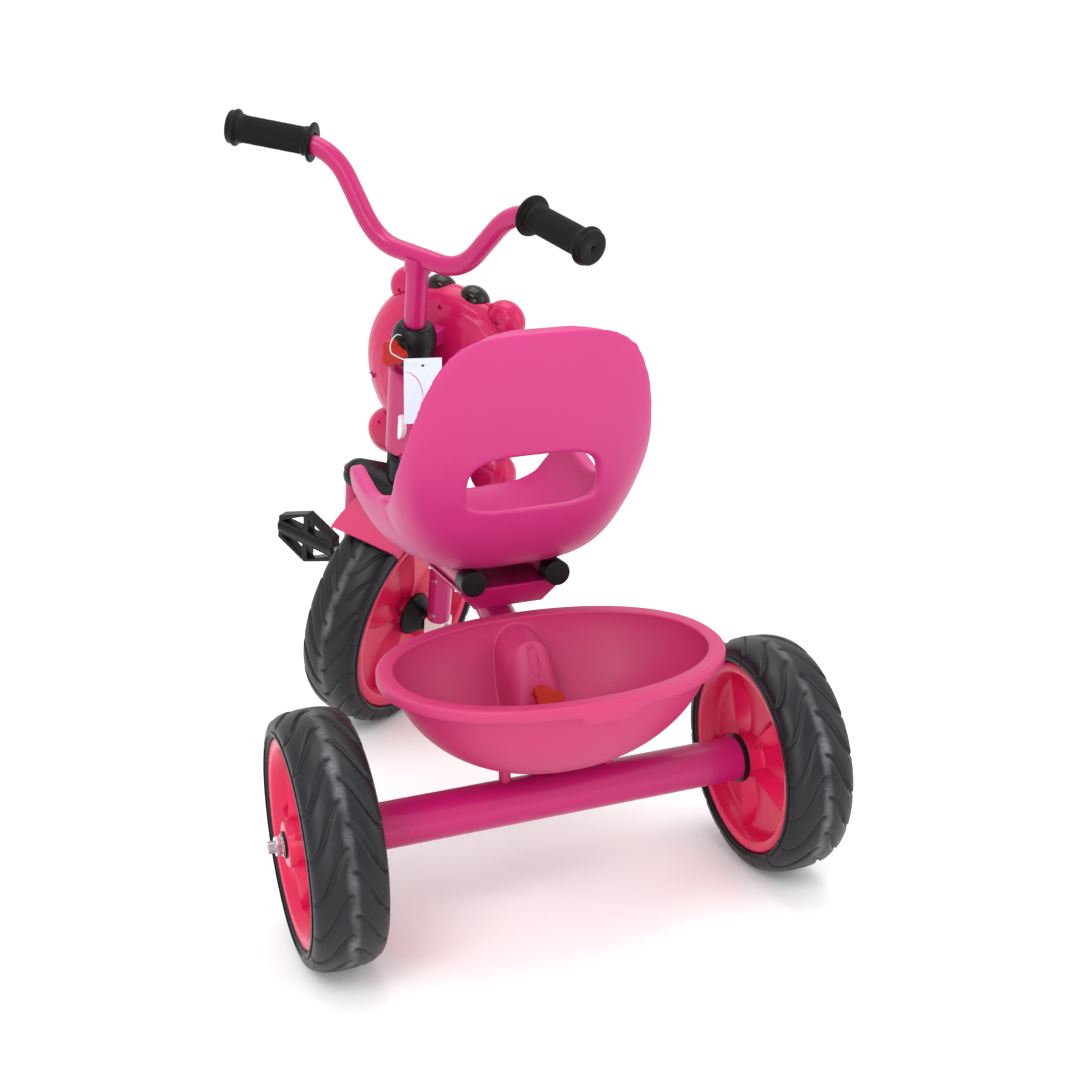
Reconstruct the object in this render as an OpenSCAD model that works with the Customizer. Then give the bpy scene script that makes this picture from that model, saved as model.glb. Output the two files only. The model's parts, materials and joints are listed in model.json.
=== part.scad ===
// Child's tricycle: steel frame, moulded seat and basket, foam-tyred wheels,
// pedals on the front axle, and a handlebar that slides in a clamping collar.
// +X is the rider's right, +Y is forward, +Z is up. The origin lies on the
// floor under the middle of the whole object. The steering is drawn turned
// to the right by steer_rest, and every steered part turns with it.

/* [Wheels] */
// Radius of each rear tyre
rear_r = 105; // [95:1:112]
// Width of each rear tyre
rear_w = 61; // [56:1:64]
// Distance of each rear wheel's middle plane from the middle of the frame
rear_track = 201; // [198:1:206]
// Radius of the front tyre
front_r = 135.5; // [132:0.5:136]
// Width of the front tyre
front_w = 67; // [60:1:68]
// Radius of the steel rod that carries the rear wheels
rear_rod_r = 5; // [4:0.5:6]
// Radius of the front crank axle
crank_axle_r = 6; // [5:0.5:7]

/* [Steering] */
// Backward lean of the steering axis, in degrees
rake = 20.8; // [19:0.1:22]
// Angle by which the steering is turned to the right, in degrees
steer_rest = 51.6; // [0:0.1:55]
// Distance of the steering axis ahead of the rear axle, at head_z
head_y = 384.6; // [380:0.1:400]
// Height at which head_y is measured
head_z = 400; // [395:1:410]
// Distance of the front axle below head_z, along the steering axis
front_drop = 283; // [282:1:287]
// Distance of the front axle behind the steering axis
front_setback = 10; // [6:1:12]

/* [Handlebar] */
// Height of the grips above head_z, along the steering axis
grip_up = 222; // [215:1:230]
// Height of the bar's middle above head_z, along the steering axis
bar_up = 139; // [136:1:145]
// Half of the bar's length, from the middle to the end of a grip
bar_half = 203; // [198:1:212]
// Radius of the bar
bar_r = 9.6; // [9:0.1:10]
// Radius of the stem
stem_r = 11.2; // [11:0.1:11.6]

/* [Seat] */
// Height of the top of the backrest
seat_top_z = 500; // [490:1:510]
// Height of the underside of the seat pan
seat_pan_z = 282; // [281:1:284]
// Thickness of the seat's moulding
seat_wall = 15; // [12:1:17]

/* [Basket] */
// Half of the basket's width at the rim
basket_a = 147; // [140:1:149]
// Half of the basket's length at the rim
basket_b = 106; // [102:1:108]
// Height of the basket's rim above the floor
basket_z = 227.4; // [226.4:0.2:229]
// Depth of the basket below its rim
basket_depth = 94; // [90:1:95]

/* [Pedals] */
// Distance of each pedal's spindle from the crank axle
crank_len = 39; // [36:1:44]
// Length of a pedal, along its spindle
pedal_len = 78; // [70:1:80]
// Width of a pedal
pedal_wid = 64; // [56:1:66]

/* [Hidden] */
$fn = 64;

// The rear axle's place behind the origin
rear_y = -243.4;
// Clearance all round a running shaft
run_gap = 0.06;
// Clearance between parts that pass each other
pass_gap = 0.4;
// Height of the rear axle
axle_z = rear_r;

axle_tube_r = 19.3;
axle_tube_half = 168;
tube_wall = 1.6;
knob_stud_r = 3;
main_tube_r = 16;
head_tube_r = 17;
head_tube_lo = -80;
head_tube_hi = 24;
steerer_r = 12.8;
leg_x = 58;
leg_r = 12.8;
leg_bottom = -272;
rail_x = 38.7;
rail_z = 271;
rail_r = 9.5;
collar_lo = 27;
collar_hi = 66;
rod_half = 246;
hub_in = -28;
hub_out = 31;
washer_h = 1.6;
nut_h = 6;
nut_face = rear_track + hub_out + pass_gap + washer_h + nut_h;

function lerp(p, q, t) = p + (q - p) * t;

// Places children on the steering axis, x to the right, y forward, z up the axis
module head_frame() {
    translate([0, rear_y + head_y, head_z]) rotate([rake, 0, 0]) children();
}

// The same, turned with the steering
module steered() {
    head_frame() rotate([0, 0, -steer_rest]) children();
}

// The front wheel's own frame: z lies along the crank axle, to the right
module front_hub() {
    steered() translate([0, -front_setback, -front_drop]) rotate([0, 90, 0]) children();
}

// A rear wheel's own frame: z lies along the axle, away from the frame
module rear_hub(side) {
    translate([side * rear_track, rear_y, axle_z]) rotate([0, 90 * side, 0]) children();
}

// A solid bar from point p to point q
module rod_between(p, q, r) {
    d = q - p;
    len = norm(d);
    translate(p) rotate([0, acos(d[2] / len), atan2(d[1], d[0])]) cylinder(h = len, r = r);
}

// A bar with a slightly swollen joint at each inner point of its path
module bent_rod(points, r) {
    for (i = [0 : len(points) - 2]) rod_between(points[i], points[i + 1], r);
    for (i = [1 : len(points) - 2]) translate(points[i]) sphere(r = r + 0.3);
}

// A closed skin through a stack of rings that have equal numbers of points
module ring_skin(rings) {
    n = len(rings[0]);
    last = len(rings) - 1;
    points = [for (ring = rings) each ring];
    sides = [for (k = [0 : last - 1], i = [0 : n - 1])
        let (a = k * n + i, b = k * n + (i + 1) % n)
        each [[a, b, b + n], [a, b + n, a + n]]];
    ends = [[for (i = [n - 1 : -1 : 0]) i], [for (i = [0 : n - 1]) last * n + i]];
    polyhedron(points, concat(sides, ends), convexity = 6);
}

/* ---- Frame ---- */

main_lo = [0, rear_y + 14, 108];
main_bend = [0, rear_y + 59, 190];
main_hi = [0, rear_y + 411, 330];

module main_tube_path(r, extra = 0) {
    up = (main_hi - main_bend) / norm(main_hi - main_bend);
    down = (main_lo - main_bend) / norm(main_lo - main_bend);
    bent_rod([main_lo + down * extra, main_bend, main_hi + up * extra], r);
}

module rear_axle_tube() {
    color([0.80, 0.13, 0.42]) translate([-axle_tube_half, rear_y, axle_z]) rotate([0, 90, 0])
        difference() {
            cylinder(h = 2 * axle_tube_half, r = axle_tube_r);
            translate([0, 0, -1]) cylinder(h = 2 * axle_tube_half + 2, r = axle_tube_r - tube_wall);
        }
}

module main_tube() {
    color([0.80, 0.13, 0.42]) difference() {
        main_tube_path(main_tube_r);
        main_tube_path(main_tube_r - tube_wall, 5);
        translate([-60, rear_y, axle_z]) rotate([0, 90, 0]) cylinder(h = 120, r = axle_tube_r);
        head_frame() translate([0, 0, -130]) cylinder(h = 160, r = head_tube_r);
        head_frame() translate([0, 0, -130]) cylinder(h = 130 + head_tube_lo - 1, r = 24);
        knob_frame() cylinder(h = 60, r = knob_stud_r + run_gap, center = true);
    }
}

module head_tube() {
    color([0.80, 0.13, 0.42]) head_frame() translate([0, 0, head_tube_lo]) difference() {
        cylinder(h = head_tube_hi - head_tube_lo, r = head_tube_r);
        translate([0, 0, -1]) cylinder(h = head_tube_hi - head_tube_lo + 2, r = 14.4);
    }
}

module head_bush() {
    difference() {
        union() {
            translate([0, 0, -1.8]) cylinder(h = 1.8, r = head_tube_r);
            cylinder(h = 14, r = 14.4);
        }
        translate([0, 0, -3]) cylinder(h = 20, r = steerer_r + run_gap);
    }
}

module head_bushes() {
    color([0.07, 0.07, 0.08]) head_frame() {
        translate([0, 0, head_tube_lo]) head_bush();
        translate([0, 0, head_tube_hi]) mirror([0, 0, 1]) head_bush();
    }
}

// Outer shape of the moulded shroud, in place
module cover_shape() {
    head_frame() hull() {
        translate([0, 0, head_tube_lo + 2]) cylinder(h = 97, r = 24.5, $fn = 32);
        translate([0, -30, -66]) cylinder(h = 66, r = 13, $fn = 32);
    }
}

// Moulded shroud over the head tube and the end of the main tube
module head_tube_cover() {
    color([0.86, 0.20, 0.45]) difference() {
        cover_shape();
        head_frame() translate([0, 0, -120]) cylinder(h = 200, r = head_tube_r);
        main_tube_path(main_tube_r + 0.2, 5);
    }
}

// A plain raised leaf shape where the cover carries its decoration
module cover_decal() {
    color([0.94, 0.94, 0.95]) difference() {
        head_frame() translate([0, -22, -52]) rotate([0, -90, 0]) rotate([0, 0, -8])
            translate([0, 0, 10]) linear_extrude(8.7) intersection() {
                translate([14, -12]) circle(r = 20);
                translate([14, 12]) circle(r = 20);
            }
        cover_shape();
    }
}

seat_bolt_y = [120, 200];
seat_bolt_r = 3;
bolt_head_top = 259.5;

// Folded steel plate that spreads from the main tube up to the two rails
module seat_bracket() {
    plate = 2.5;
    color([0.84, 0.16, 0.44]) difference() {
        hull() {
            translate([-47, rear_y + 96, 260]) cube([94, 112, 2]);
            translate([-18, rear_y + 120, 222]) cube([36, 58, 2]);
        }
        hull() {
            translate([-47 + plate, rear_y + 96 + plate, 260 - plate]) cube([94 - 2 * plate, 112 - 2 * plate, 1]);
            translate([-18 + plate, rear_y + 120 + plate, 216]) cube([36 - 2 * plate, 58 - 2 * plate, 1]);
        }
        main_tube_path(main_tube_r, 5);
        for (s = [-1, 1]) {
            rail(s, rail_r);
            rail_cap_room(s);
            for (y = seat_bolt_y) translate([s * rail_x, rear_y + y, 0]) {
                cylinder(h = 300, r = seat_bolt_r + 0.2);
                cylinder(h = bolt_head_top, r = 6.7);
            }
        }
    }
}

module rail(side, r) {
    translate([side * rail_x, rear_y + 90, rail_z]) rotate([-90, 0, 0]) cylinder(h = 172, r = r);
}

module rail_cap_room(side) {
    translate([side * rail_x, rear_y + 80, rail_z]) rotate([-90, 0, 0]) cylinder(h = 22.3, r = 11.5);
}

module seat_rails() {
    color([0.84, 0.16, 0.44]) for (s = [-1, 1]) difference() {
        rail(s, rail_r);
        translate([s * rail_x, rear_y + 80, rail_z]) rotate([-90, 0, 0]) cylinder(h = 200, r = rail_r - tube_wall);
        for (y = seat_bolt_y) translate([s * rail_x, rear_y + y, rail_z - 15])
            cylinder(h = 30, r = seat_bolt_r + 0.2);
    }
}

module rail_caps() {
    color([0.05, 0.05, 0.06]) for (s = [-1, 1]) for (e = [[83, 1], [269, -1]])
        translate([s * rail_x, rear_y + e[0], rail_z]) rotate([-90 * e[1], 0, 0]) {
            difference() {
                cylinder(h = 19, r = 11.4);
                translate([0, 0, 7]) cylinder(h = 14, r = rail_r);
            }
            translate([0, 0, 6.9]) cylinder(h = 10, r = rail_r - tube_wall);
        }
}

/* ---- Seat ---- */

// Middle line of the seat's rear and under surface, from the top of the
// backrest to the front edge: place behind the rear axle, height, half-width,
// rise of the side at the edge
seat_line = [
    [-13, 495, 44, 1], [-12, 491, 64, 2], [-8, 477, 82, 5], [1, 448, 97, 9],
    [14, 406, 107, 18], [24, 374, 111, 30], [35, 344, 110, 44], [48, 318, 108, 58],
    [66, 296, 106, 68], [90, 282, 106, 72], [120, 278, 108, 70], [155, 278, 110, 66],
    [190, 279, 111, 68], [220, 282, 109, 66], [245, 287, 104, 56], [264, 293, 96, 32],
    [276, 299, 82, 10]
];
seat_across = 20;

function seat_tangent(i) =
    let (a = seat_line[max(i - 1, 0)], b = seat_line[min(i + 1, len(seat_line) - 1)], d = [b[0] - a[0], b[1] - a[1]])
    d / norm(d);

// A point of the seat's skin at station i, angle t across, and depth in the wall
function seat_point(i, t, depth) =
    let (s = seat_line[i], tan = seat_tangent(i), nrm = [-tan[1], tan[0]],
         flat = sign(sin(t)) * pow(abs(sin(t)), 0.85),
         side = pow(1 - cos(t), 1.3),
         x = (s[2] - depth * abs(sin(t)) * 0.9) * flat,
         up = s[3] * side + depth * (1 - 0.75 * pow(abs(sin(t)), 6)))
    [x, rear_y + s[0] + nrm[0] * up, s[1] + nrm[1] * up];

module seat_shell() {
    m = seat_across;
    rings = [for (i = [0 : len(seat_line) - 1]) concat(
        [for (j = [-m : m]) seat_point(i, 90 * j / m, 0)],
        [for (j = [m : -1 : -m]) seat_point(i, 88 * j / m, seat_wall)])];
    ring_skin(rings);
}

module hand_opening() {
    translate([0, rear_y - 60, 368]) rotate([-90, 0, 0]) linear_extrude(200) hull() {
        for (s = [-1, 1]) {
            translate([s * 40, -6]) circle(r = 15, $fn = 32);
            translate([s * 47, 12]) circle(r = 11, $fn = 32);
        }
    }
}

module seat() {
    color([0.87, 0.24, 0.48]) difference() {
        seat_shell();
        hand_opening();
        for (s = [-1, 1]) {
            rail(s, rail_r);
            rail_cap_room(s);
        }
    }
}

module seat_bolts() {
    color([0.75, 0.75, 0.77]) for (s = [-1, 1]) for (y = seat_bolt_y)
        translate([s * rail_x, rear_y + y, bolt_head_top - 4]) {
            cylinder(h = 29.5, r = seat_bolt_r);
            cylinder(h = 4, r = 6.5, $fn = 6);
        }
}

/* ---- Basket ---- */

basket_y = -1;
basket_tilt = 2.7;
basket_wall = 3;
hump_r = 22;
hump_foot_r = 30;

function oval(a, b, z, n = 64) = [for (i = [0 : n - 1])
    let (c = cos(360 * i / n), s = -sin(360 * i / n))
    [a * sign(c) * pow(abs(c), 0.93), b * sign(s) * pow(abs(s), 0.93), z]];

// Bowl from its bottom up to height top, inset from the outer skin
module bowl(inset, top) {
    steps = 10;
    low = 12;
    a = basket_a - 11;
    b = basket_b - 11;
    ring_skin(concat(
        [for (k = [0 : steps])
            let (t = lerp(90 - low, 0, k / steps))
            oval((a - inset) * pow(cos(t), 0.92), (b - inset) * pow(cos(t), 0.92),
                 -(basket_depth - inset) * pow(sin(t), 1.15))],
        top > 0 ? [oval(a - inset, b - inset, top)] : []));
}

module basket_frame() {
    translate([0, rear_y + basket_y, basket_z]) rotate([basket_tilt, 0, 0]) children();
}

// Wall over the main tube: the tube's path and everything under it
module hump(inset, drop) {
    lift = [0, -1, 2];
    tail = main_bend + (main_hi - main_bend) * 0.36;
    foot = main_lo + [0, 12, 14];
    for (seg = [[main_bend, tail], [main_bend, foot]]) hull() for (p = seg) {
        translate(p + lift) sphere(r = hump_r - inset, $fn = 32);
        translate(p + lift - [0, 0, drop]) sphere(r = hump_foot_r - inset, $fn = 32);
    }
}

// Two short pegs that stand on the rear axle tube
module basket_feet() {
    for (s = [-1, 1]) translate([s * 46, -basket_y, -basket_depth - 10]) cylinder(h = 26, r = 5);
}

// The clamping knob's frame: z points out of the wall over the main tube
module knob_frame() {
    slope = main_bend - main_lo;
    translate((main_bend + main_lo) / 2 + [0, 12, 16]) rotate([atan2(slope[2], slope[1]), 0, 0]) children();
}

module basket() {
    color([0.86, 0.24, 0.46]) difference() {
        union() {
            basket_frame() {
                difference() {
                    union() {
                        bowl(0, 2);
                        basket_feet();
                        ring_skin([oval(basket_a - 2, basket_b - 2, -8), oval(basket_a, basket_b, -6),
                                   oval(basket_a, basket_b, -1), oval(basket_a - 1.5, basket_b - 1.5, 0.5),
                                   oval(basket_a - 6, basket_b - 6, 1.5), oval(basket_a - 12, basket_b - 12, 0.5)]);
                    }
                    bowl(basket_wall, 6);
                    difference() {
                        translate([0, 0, -20]) ring_skin([oval(basket_a - 3, basket_b - 3, 0), oval(basket_a - 3, basket_b - 3, 18)]);
                        translate([0, 0, -30]) ring_skin([oval(basket_a - 11, basket_b - 11, 0), oval(basket_a - 11, basket_b - 11, 40)]);
                    }
                }
            }
            intersection() {
                hump(0, 50);
                basket_frame() bowl(0.5, 0);
            }
        }
        hump(basket_wall, 90);
        knob_frame() cylinder(h = 60, r = knob_stud_r + run_gap, center = true);
        translate([0, rear_y + 52, 190]) linear_extrude(60) square([13, 17], center = true);
        translate([-100, rear_y, axle_z]) rotate([0, 90, 0]) cylinder(h = 200, r = axle_tube_r);
    }
}

/* ---- Rear axle and wheels ---- */

// Threaded steel rod: a relief groove outside each nut leaves a short free end
module rear_axle_rod() {
    groove = 0.6;
    color([0.70, 0.70, 0.72]) translate([0, rear_y, axle_z]) rotate([0, 90, 0]) {
        cylinder(h = 2 * nut_face, r = rear_rod_r, center = true);
        cylinder(h = 2 * rod_half, r = rear_rod_r - 0.8, center = true);
        for (s = [0, 1]) mirror([0, 0, s]) translate([0, 0, nut_face + groove])
            cylinder(h = rod_half - nut_face - groove, r = rear_rod_r);
    }
}

module axle_tube_plugs() {
    color([0.05, 0.05, 0.06]) for (s = [-1, 1])
        translate([s * axle_tube_half, rear_y, axle_z]) rotate([0, 90 * s, 0]) difference() {
            union() {
                cylinder(h = 4.5, r = 21.3);
                translate([0, 0, -14]) cylinder(h = 14, r = axle_tube_r - tube_wall);
            }
            translate([0, 0, -20]) cylinder(h = 30, r = rear_rod_r);
        }
}

module axle_washers() {
    color([0.10, 0.10, 0.11]) for (s = [-1, 1]) rear_hub(s) translate([0, 0, hub_out + pass_gap]) difference() {
        cylinder(h = washer_h, r = 11);
        translate([0, 0, -1]) cylinder(h = 5, r = rear_rod_r);
    }
}

module axle_nuts() {
    color([0.78, 0.78, 0.80]) for (s = [-1, 1]) rear_hub(s) translate([0, 0, hub_out + pass_gap + washer_h]) difference() {
        union() {
            cylinder(h = nut_h, r = 8.6, $fn = 6);
            cylinder(h = 1.2, r = 8.8);
        }
        translate([0, 0, -1]) cylinder(h = 10, r = rear_rod_r);
    }
}

// Tyre with a crowned tread: z is the wheel's axis
module tyre(r, w, seat_r) {
    h = w / 2;
    shoulder = r * 0.868;
    rotate_extrude($fn = 96) polygon(concat(
        [[seat_r, -h + 4], [seat_r, h - 4], [seat_r + 2, h - 1], [shoulder - 4, h]],
        [for (i = [0 : 12]) let (t = 90 - 180 * i / 12)
            [shoulder + (r - shoulder) * pow(cos(t), 0.75), h * 0.97 * sign(sin(t)) * pow(abs(sin(t)), 0.8)]],
        [[shoulder - 4, -h], [seat_r + 2, -h + 1]]));
}

// Moulded dished rim with five pyramid-shaped spokes, hollow under the tyre:
// z is the wheel's axis
module rim(seat_r, w, hub_lo, hub_hi, bore_r) {
    h = w / 2;
    lip = h - 9;
    difference() {
        union() {
            rotate_extrude($fn = 96) polygon([
                [bore_r, hub_lo], [bore_r + 9, hub_lo], [bore_r + 11, -12], [seat_r * 0.84, -16], [seat_r * 0.93, -h + 3],
                [seat_r - 1, -h + 3], [seat_r, -h + 5], [seat_r, h - 5], [seat_r - 1, h - 3], [seat_r * 0.93, h - 3],
                [seat_r * 0.84, 16], [bore_r + 11, 12], [bore_r + 9, hub_hi], [bore_r, hub_hi]]);
            for (i = [0 : 4]) rotate([0, 0, 72 * i + 18]) translate([bore_r + 4, 0, 0]) rotate([0, 90, 0])
                linear_extrude(seat_r * 0.86 - bore_r) polygon([[-h + 10.2, 0], [0, 8], [h - 10.2, 0], [0, -8]]);
        }
        translate([0, 0, hub_lo - 1]) cylinder(h = hub_hi - hub_lo + 2, r = bore_r);
        rotate_extrude($fn = 96) polygon([
            [bore_r + 14, -8], [seat_r * 0.86, -11], [seat_r * 0.90, -lip], [seat_r + 1, -lip],
            [seat_r + 1, lip], [seat_r * 0.90, lip], [seat_r * 0.86, 11], [bore_r + 14, 8]]);
    }
}

rear_seat_r = 85;
front_seat_r = 111;
rear_bore_r = 9;

module rear_tyre(side) {
    color([0.09, 0.09, 0.10]) rear_hub(side) tyre(rear_r, rear_w, rear_seat_r);
}

module rear_rim(side) {
    color([0.93, 0.12, 0.30]) rear_hub(side) rim(rear_seat_r, rear_w, hub_in, hub_out, rear_bore_r);
}

module rear_bushes(side) {
    color([0.05, 0.05, 0.06]) rear_hub(side) for (e = [[hub_in, 0], [hub_out, 180]])
        translate([0, 0, e[0]]) rotate([e[1], 0, 0]) difference() {
            cylinder(h = 16, r = rear_bore_r);
            translate([0, 0, -1]) cylinder(h = 20, r = rear_rod_r + run_gap);
        }
}

module rear_left_tyre() { rear_tyre(-1); }
module rear_left_rim() { rear_rim(-1); }
module rear_left_bushes() { rear_bushes(-1); }
module rear_right_tyre() { rear_tyre(1); }
module rear_right_rim() { rear_rim(1); }
module rear_right_bushes() { rear_bushes(1); }

/* ---- Fork ---- */

module steerer() {
    color([0.70, 0.70, 0.72]) steered() translate([0, 0, -124]) difference() {
        cylinder(h = collar_hi - 4 + 124, r = steerer_r);
        translate([0, 0, -1]) cylinder(h = 300, r = stem_r + run_gap);
    }
}

module fork_crown() {
    color([0.80, 0.13, 0.42]) steered() translate([0, 0, -128]) linear_extrude(4) hull() {
        for (s = [-1, 1]) translate([s * leg_x, -front_setback]) circle(r = 15, $fn = 32);
        circle(r = 17, $fn = 32);
    }
}

module fork_legs() {
    color([0.80, 0.13, 0.42]) steered() for (s = [-1, 1])
        translate([s * leg_x, -front_setback, leg_bottom]) difference() {
            cylinder(h = -128 - leg_bottom, r = leg_r);
            translate([0, 0, -1]) cylinder(h = 300, r = leg_r - tube_wall);
        }
}

// Moulded cap over the crown and the tops of the legs
module fork_shoulders() {
    color([0.05, 0.05, 0.06]) steered() difference() {
        hull() {
            for (s = [-1, 1]) translate([s * (leg_x - 3), -front_setback, -131]) sphere(r = 18, $fn = 32);
            translate([0, -2, -124]) cylinder(h = 7, r = 23, $fn = 32);
        }
        translate([0, 0, -200 - 137]) cylinder(h = 200, r = 120);
        translate([0, 0, -128.2]) linear_extrude(4.4) hull() {
            for (s = [-1, 1]) translate([s * leg_x, -front_setback]) circle(r = 15.2, $fn = 32);
            circle(r = 17.2, $fn = 32);
        }
        for (s = [-1, 1]) translate([s * leg_x, -front_setback, -150]) cylinder(h = 24, r = leg_r + 0.2);
        translate([0, 0, -150]) cylinder(h = 60, r = steerer_r + 0.1);
        translate([0, 0, -117]) cylinder(h = 60, r = 22.6);
        for (s = [-1, 1]) translate([s * 20, -front_setback, -142]) cylinder(h = 13.8, r = 2.6);
    }
}

module lower_bearing_cover() {
    color([0.05, 0.05, 0.06]) steered() rotate_extrude() polygon([
        [steerer_r, -116.9], [21, -116.9], [22.5, -115], [22.5, -88], [20, -83], [steerer_r, -83]]);
}

// Domed cap that clamps the stem to the steerer
module head_collar() {
    color([0.06, 0.06, 0.07]) steered() difference() {
        union() {
            rotate_extrude() polygon(concat(
                [[stem_r, collar_lo], [21.5, collar_lo]],
                [for (i = [0 : 8]) let (t = 90 * i / 8)
                    [lerp(23.2, 14.5, 1 - cos(t)), lerp(collar_lo + 20, collar_hi, sin(t))]],
                [[stem_r, collar_hi]]));
            translate([0, -16, 46]) rotate([90, 0, 0]) cylinder(h = 10.5, r = 8.5);
        }
        translate([0, 0, collar_lo - 1]) cylinder(h = collar_hi - 4 - collar_lo + 1, r = steerer_r);
        translate([0, 0, collar_lo]) cylinder(h = 60, r = stem_r + run_gap);
        translate([0, -10, 46]) rotate([90, 0, 0]) cylinder(h = 30, r = knob_stud_r + run_gap);
    }
}

// Nylon blocks, one under each leg, in which the crank axle turns
module bearing_blocks() {
    color([0.90, 0.89, 0.85]) steered() for (s = [-1, 1]) translate([s * leg_x, -front_setback, -front_drop])
        difference() {
            union() {
                translate([-10, -12, -15]) cube([20, 24, 15 + front_drop + leg_bottom]);
                translate([0, 0, 10]) cylinder(h = 20, r = leg_r - tube_wall);
            }
            rotate([0, 90, 0]) cylinder(h = 40, r = crank_axle_r + run_gap, center = true);
            translate([-13, -0.6, -16]) cube([26, 1.2, 12]);
        }
}

module leg_screws() {
    color([0.75, 0.75, 0.77]) steered() for (s = [-1, 1]) for (z = [-262, -215])
        translate([s * leg_x, -front_setback - leg_r - 2.4, z]) rotate([-90, 0, 0]) {
            cylinder(h = 2.3, r = 3.6);
            cylinder(h = 2.4 + tube_wall, r = 1.9);
        }
}

/* ---- Mudguard ---- */

guard_r = 141;
guard_half = 40;

module mudguard() {
    color([0.88, 0.22, 0.44]) front_hub() rotate([0, 0, 100]) rotate_extrude(angle = 108, $fn = 96) polygon([
        [guard_r, -guard_half], [guard_r, guard_half], [guard_r - 7, guard_half + 3],
        [guard_r - 5.5, guard_half + 4.5], [guard_r + 2.5, guard_half + 1],
        [guard_r + 2.5, -guard_half - 1], [guard_r - 5.5, -guard_half - 4.5], [guard_r - 7, -guard_half - 3]]);
}

module mudguard_screws() {
    color([0.75, 0.75, 0.77]) steered() for (s = [-1, 1])
        translate([s * 20, -front_setback, -141.4]) cylinder(h = 13.2, r = 2.5);
}

/* ---- Bear panel ---- */

bear_y = 72;
bear_z = -22;
bear_r = 104;
bear_skin = 3;

// Round pad with a soft edge, r across and depth deep, its flat side at z = 0
module pad(r, depth) {
    steps = 8;
    rotate_extrude() polygon(concat([[0, 0]],
        [for (k = [0 : steps]) let (t = 90 * k / steps) [r * pow(cos(t), 0.7), depth * sin(t)]]));
}

// Half of the head, with its hollow
module bear_half(depth) {
    difference() {
        pad(bear_r, depth);
        translate([0, 0, -0.01]) pad(bear_r - bear_skin, depth - bear_skin);
    }
}

// The panel's own frame: x across, y up, z backward from the joint of its halves
module bear_frame() {
    steered() translate([0, bear_y, bear_z]) rotate([90, 0, 0]) children();
}

// Clears the space taken by the head
module bear_room() {
    bear_frame() {
        pad(bear_r, 40);
        mirror([0, 0, 1]) pad(bear_r, 34);
    }
}

module bear_back() {
    color([0.90, 0.16, 0.36]) bear_frame() bear_half(40);
}

module bear_front() {
    color([0.90, 0.16, 0.36]) bear_frame() mirror([0, 0, 1]) bear_half(34);
}

module bear_ears() {
    color([0.90, 0.16, 0.36]) difference() {
        steered() for (s = [-1, 1]) translate([s * 59, bear_y + 4, 60]) {
            rotate([90, 0, 0]) pad(22.5, 17);
            rotate([-90, 0, 0]) pad(22.5, 15);
        }
        bear_room();
    }
}

module bear_paws() {
    color([0.90, 0.16, 0.36]) difference() {
        steered() for (s = [-1, 1]) translate([s * 68, bear_y - 8, -114]) {
            rotate([90, 0, 0]) pad(27, 20);
            rotate([-90, 0, 0]) pad(27, 18);
        }
        bear_room();
    }
}

// Two dark rounded tufts over the forehead
module bear_hat() {
    color([0.12, 0.07, 0.05]) difference() {
        steered() for (s = [-1, 1]) translate([s * 20, bear_y + 2, 68]) {
            rotate([90, 0, 0]) pad(19, 15);
            rotate([-90, 0, 0]) pad(19, 15);
        }
        bear_room();
    }
}

module bear_muzzle() {
    color([0.96, 0.78, 0.80]) difference() {
        steered() translate([0, bear_y + 26, -48]) rotate([-90, 0, 0]) pad(34, 20);
        bear_room();
    }
}

module bear_eyes() {
    color([0.05, 0.05, 0.06]) difference() {
        steered() {
            for (s = [-1, 1]) translate([s * 36, bear_y + 26, 2]) rotate([-90, 0, 0]) pad(10, 11);
            translate([0, bear_y + 40, -38]) rotate([-90, 0, 0]) pad(9, 11);
        }
        bear_room();
        steered() translate([0, bear_y + 26, -48]) rotate([-90, 0, 0]) pad(34, 20);
    }
}

module bear_screws() {
    color([0.78, 0.78, 0.80]) steered() for (s = [-1, 1])
        translate([s * 84, bear_y - 31, -42]) rotate([-90, 0, 0]) cylinder(h = 18, r = 4);
}

// Arms from the steering parts to the back of the panel
module bear_bracket() {
    color([0.84, 0.16, 0.40]) difference() {
        steered() {
            translate([-11, 18, 34]) cube([22, 34, 16]);
            translate([-11, 18, -106]) cube([22, 34, 14]);
        }
        steered() translate([0, 0, -130]) cylinder(h = 220, r = 23.3);
        bear_room();
    }
}

/* ---- Front wheel and pedals ---- */

crank_x = 78;
pin_r = 4.5;
pin_out = 167;
pedal_mid = 124.5;
pedal_turn = 86;
front_bore_r = 6;
front_hub = 23.5;

module front_tyre() {
    color([0.09, 0.09, 0.10]) front_hub() tyre(front_r, front_w, front_seat_r);
}

module front_rim() {
    color([0.93, 0.12, 0.30]) front_hub() rim(front_seat_r, front_w, -front_hub, front_hub, front_bore_r);
}

module hub_cones() {
    color([0.05, 0.05, 0.06]) front_hub() for (s = [0, 1]) mirror([0, 0, s]) rotate_extrude() polygon([
        [front_bore_r, front_hub], [25, front_hub], [25, front_hub + 3], [12, 43], [12, 44.8], [9, 44.8],
        [9, 47.6], [front_bore_r, 47.6]]);
}

module crank_axle() {
    color([0.75, 0.75, 0.77]) front_hub() {
        cylinder(h = 2 * crank_x, r = crank_axle_r, center = true);
        for (s = [-1, 1]) {
            for (x = [0, s * crank_len]) translate([x, 0, s * crank_x]) sphere(r = crank_axle_r);
            rod_between([0, 0, s * crank_x], [s * crank_len, 0, s * crank_x], crank_axle_r);
            translate([s * crank_len, 0, s > 0 ? crank_x : -pin_out]) cylinder(h = pin_out - crank_x, r = pin_r);
        }
    }
}

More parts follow.
